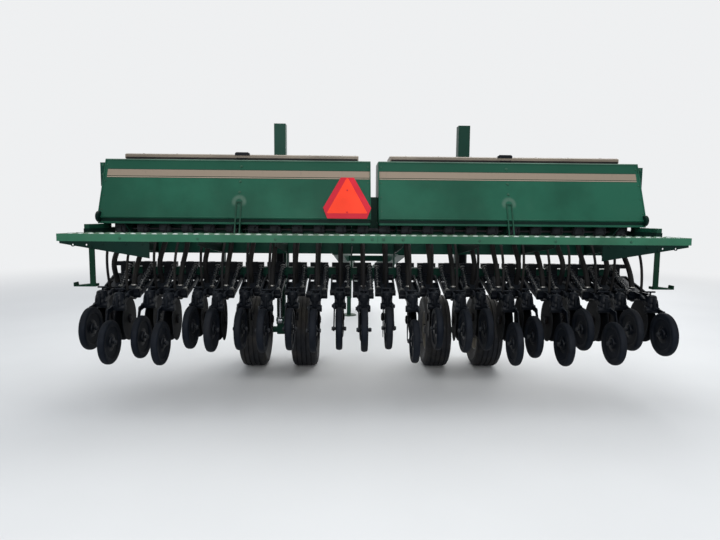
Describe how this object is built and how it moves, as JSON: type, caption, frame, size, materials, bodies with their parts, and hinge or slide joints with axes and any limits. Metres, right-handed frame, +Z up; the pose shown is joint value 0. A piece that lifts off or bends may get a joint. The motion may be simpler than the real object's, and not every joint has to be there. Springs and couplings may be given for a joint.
{
  "type": "seed drill",
  "caption": "Trailed 24-row end-to-end seed drill, raised on twin transport wheels and parked on its jack, with two lidded seed boxes, disc openers and press wheels.",
  "frame": {"origin": "middle of the overall box, on the ground under the parked drill", "axes": "+Z up, +Y the way the drill is pulled, +X to its right seen from behind"},
  "size_m": [4.7294, 4.655, 2.32],
  "materials": {
    "frame_green": "dark green paint, semi-gloss, dusty",
    "box_green": "green paint with tan stripe, semi-gloss",
    "plank_green": "lighter green paint, worn along the edge",
    "lid_tan": "tan paint, satin",
    "black_steel": "black paint, satin, dusty",
    "sign_orange": "fluorescent orange-red with dark red border",
    "rim_paint": "off-white paint, dusty",
    "bare_steel": "bare steel, dull",
    "worn_steel": "soil-polished steel, rusty towards the middle",
    "chrome_rod": "hard chrome, bright",
    "cast_grey": "grey castings, dull",
    "hose_rubber": "dark brown-black rubber, dull",
    "tyre_black": "ribbed tyre rubber, dusty",
    "press_rubber": "black rubber tread, dusty"
  },
  "bodies": {
    "root": {"cross_tubes": "frame_green", "frame_rails": "frame_green", "tongue": "frame_green", "hitch_clevis": "black_steel", "leg_sleeves": "frame_green", "lift_barrels": "black_steel", "seed_box_left": "box_green", "seed_box_right": "box_green", "box_saddles": "frame_green", "feed_rail": "frame_green", "lid_hinges": "bare_steel", "meters": "cast_grey", "meter_shaft": "bare_steel", "seed_hoses": "hose_rubber", "opener_mounts": "black_steel", "opener_arms": "black_steel", "opener_springs": "black_steel", "opener_discs": "worn_steel", "depth_handles": "black_steel", "press_arms": "black_steel", "walkboards": "plank_green", "walkboard_brackets": "frame_green", "side_steps": "box_green", "wall_straps": "box_green", "slow_sign": "sign_orange", "jack": "box_green"},
    "lid_left": {"lid_left": "lid_tan"},
    "lid_right": {"lid_right": "lid_tan"},
    "leg_left": {"leg_left": "frame_green", "rod_left": "chrome_rod"},
    "leg_right": {"leg_right": "frame_green", "rod_right": "chrome_rod"},
    "wheels_left": {"tyres_left": "tyre_black", "rims_left": "rim_paint"},
    "wheels_right": {"tyres_right": "tyre_black", "rims_right": "rim_paint"},
    "press_wheel_01": {"press_wheel_01": "press_rubber"},
    "press_wheel_02": {"press_wheel_02": "press_rubber"},
    "press_wheel_03": {"press_wheel_03": "press_rubber"},
    "press_wheel_04": {"press_wheel_04": "press_rubber"},
    "press_wheel_05": {"press_wheel_05": "press_rubber"},
    "press_wheel_06": {"press_wheel_06": "press_rubber"},
    "press_wheel_07": {"press_wheel_07": "press_rubber"},
    "press_wheel_08": {"press_wheel_08": "press_rubber"},
    "press_wheel_09": {"press_wheel_09": "press_rubber"},
    "press_wheel_10": {"press_wheel_10": "press_rubber"},
    "press_wheel_11": {"press_wheel_11": "press_rubber"},
    "press_wheel_12": {"press_wheel_12": "press_rubber"},
    "press_wheel_13": {"press_wheel_13": "press_rubber"},
    "press_wheel_14": {"press_wheel_14": "press_rubber"},
    "press_wheel_15": {"press_wheel_15": "press_rubber"},
    "press_wheel_16": {"press_wheel_16": "press_rubber"},
    "press_wheel_17": {"press_wheel_17": "press_rubber"},
    "press_wheel_18": {"press_wheel_18": "press_rubber"},
    "press_wheel_19": {"press_wheel_19": "press_rubber"},
    "press_wheel_20": {"press_wheel_20": "press_rubber"},
    "press_wheel_21": {"press_wheel_21": "press_rubber"},
    "press_wheel_22": {"press_wheel_22": "press_rubber"},
    "press_wheel_23": {"press_wheel_23": "press_rubber"},
    "press_wheel_24": {"press_wheel_24": "press_rubber"}
  },
  "joints": [
    {"name": "lid_left_hinge", "type": "hinge", "parent": "root", "child": "lid_left", "pos_m": [-1.13738, -1.0605, 1.938], "axis": [-1, 0, 0], "range_deg": [0, 85]},
    {"name": "lift_left", "type": "slide", "parent": "root", "child": "leg_left", "axis": [0, 0, 1], "range_m": [0, 0.28]},
    {"name": "wheels_left_spin", "type": "hinge", "parent": "leg_left", "child": "wheels_left", "pos_m": [-0.87, -0.9275, 0.35], "axis": [1, 0, 0], "continuous": true},
    {"name": "lid_right_hinge", "type": "hinge", "parent": "root", "child": "lid_right", "pos_m": [1.13738, -1.0605, 1.938], "axis": [-1, 0, 0], "range_deg": [0, 85]},
    {"name": "lift_right", "type": "slide", "parent": "root", "child": "leg_right", "axis": [0, 0, 1], "range_m": [0, 0.28]},
    {"name": "wheels_right_spin", "type": "hinge", "parent": "leg_right", "child": "wheels_right", "pos_m": [0.87, -0.9275, 0.35], "axis": [1, 0, 0], "continuous": true},
    {"name": "press_wheel_01_spin", "type": "hinge", "parent": "root", "child": "press_wheel_01", "pos_m": [-2.19075, -2.0375, 0.585], "axis": [1, 0, 0], "continuous": true},
    {"name": "press_wheel_02_spin", "type": "hinge", "parent": "root", "child": "press_wheel_02", "pos_m": [-2.00025, -2.1625, 0.505], "axis": [1, 0, 0], "continuous": true},
    {"name": "press_wheel_03_spin", "type": "hinge", "parent": "root", "child": "press_wheel_03", "pos_m": [-1.80975, -2.0375, 0.52], "axis": [1, 0, 0], "continuous": true},
    {"name": "press_wheel_04_spin", "type": "hinge", "parent": "root", "child": "press_wheel_04", "pos_m": [-1.61925, -2.1625, 0.5], "axis": [1, 0, 0], "continuous": true},
    {"name": "press_wheel_05_spin", "type": "hinge", "parent": "root", "child": "press_wheel_05", "pos_m": [-1.42875, -2.0375, 0.595], "axis": [1, 0, 0], "continuous": true},
    {"name": "press_wheel_06_spin", "type": "hinge", "parent": "root", "child": "press_wheel_06", "pos_m": [-1.23825, -2.1625, 0.602], "axis": [1, 0, 0], "continuous": true},
    {"name": "press_wheel_07_spin", "type": "hinge", "parent": "root", "child": "press_wheel_07", "pos_m": [-1.04775, -2.0375, 0.585], "axis": [1, 0, 0], "continuous": true},
    {"name": "press_wheel_08_spin", "type": "hinge", "parent": "root", "child": "press_wheel_08", "pos_m": [-0.85725, -2.1625, 0.6], "axis": [1, 0, 0], "continuous": true},
    {"name": "press_wheel_09_spin", "type": "hinge", "parent": "root", "child": "press_wheel_09", "pos_m": [-0.66675, -2.0375, 0.585], "axis": [1, 0, 0], "continuous": true},
    {"name": "press_wheel_10_spin", "type": "hinge", "parent": "root", "child": "press_wheel_10", "pos_m": [-0.47625, -2.1625, 0.6], "axis": [1, 0, 0], "continuous": true},
    {"name": "press_wheel_11_spin", "type": "hinge", "parent": "root", "child": "press_wheel_11", "pos_m": [-0.28575, -2.0375, 0.59], "axis": [1, 0, 0], "continuous": true},
    {"name": "press_wheel_12_spin", "type": "hinge", "parent": "root", "child": "press_wheel_12", "pos_m": [-0.09525, -2.1625, 0.607], "axis": [1, 0, 0], "continuous": true},
    {"name": "press_wheel_13_spin", "type": "hinge", "parent": "root", "child": "press_wheel_13", "pos_m": [0.09525, -2.0375, 0.595], "axis": [1, 0, 0], "continuous": true},
    {"name": "press_wheel_14_spin", "type": "hinge", "parent": "root", "child": "press_wheel_14", "pos_m": [0.28575, -2.1625, 0.522], "axis": [1, 0, 0], "continuous": true},
    {"name": "press_wheel_15_spin", "type": "hinge", "parent": "root", "child": "press_wheel_15", "pos_m": [0.47625, -2.0375, 0.592], "axis": [1, 0, 0], "continuous": true},
    {"name": "press_wheel_16_spin", "type": "hinge", "parent": "root", "child": "press_wheel_16", "pos_m": [0.66675, -2.1625, 0.602], "axis": [1, 0, 0], "continuous": true},
    {"name": "press_wheel_17_spin", "type": "hinge", "parent": "root", "child": "press_wheel_17", "pos_m": [0.85725, -2.0375, 0.59], "axis": [1, 0, 0], "continuous": true},
    {"name": "press_wheel_18_spin", "type": "hinge", "parent": "root", "child": "press_wheel_18", "pos_m": [1.04775, -2.1625, 0.503], "axis": [1, 0, 0], "continuous": true},
    {"name": "press_wheel_19_spin", "type": "hinge", "parent": "root", "child": "press_wheel_19", "pos_m": [1.23825, -2.0375, 0.53], "axis": [1, 0, 0], "continuous": true},
    {"name": "press_wheel_20_spin", "type": "hinge", "parent": "root", "child": "press_wheel_20", "pos_m": [1.42875, -2.1625, 0.5], "axis": [1, 0, 0], "continuous": true},
    {"name": "press_wheel_21_spin", "type": "hinge", "parent": "root", "child": "press_wheel_21", "pos_m": [1.61925, -2.0375, 0.59], "axis": [1, 0, 0], "continuous": true},
    {"name": "press_wheel_22_spin", "type": "hinge", "parent": "root", "child": "press_wheel_22", "pos_m": [1.80975, -2.1625, 0.508], "axis": [1, 0, 0], "continuous": true},
    {"name": "press_wheel_23_spin", "type": "hinge", "parent": "root", "child": "press_wheel_23", "pos_m": [2.00025, -2.0375, 0.59], "axis": [1, 0, 0], "continuous": true},
    {"name": "press_wheel_24_spin", "type": "hinge", "parent": "root", "child": "press_wheel_24", "pos_m": [2.19075, -2.1625, 0.58], "axis": [1, 0, 0], "continuous": true}
  ],
  "couplings": [
    {"joint": "lift_right", "follows": "lift_left", "ratio": 1}
  ]
}
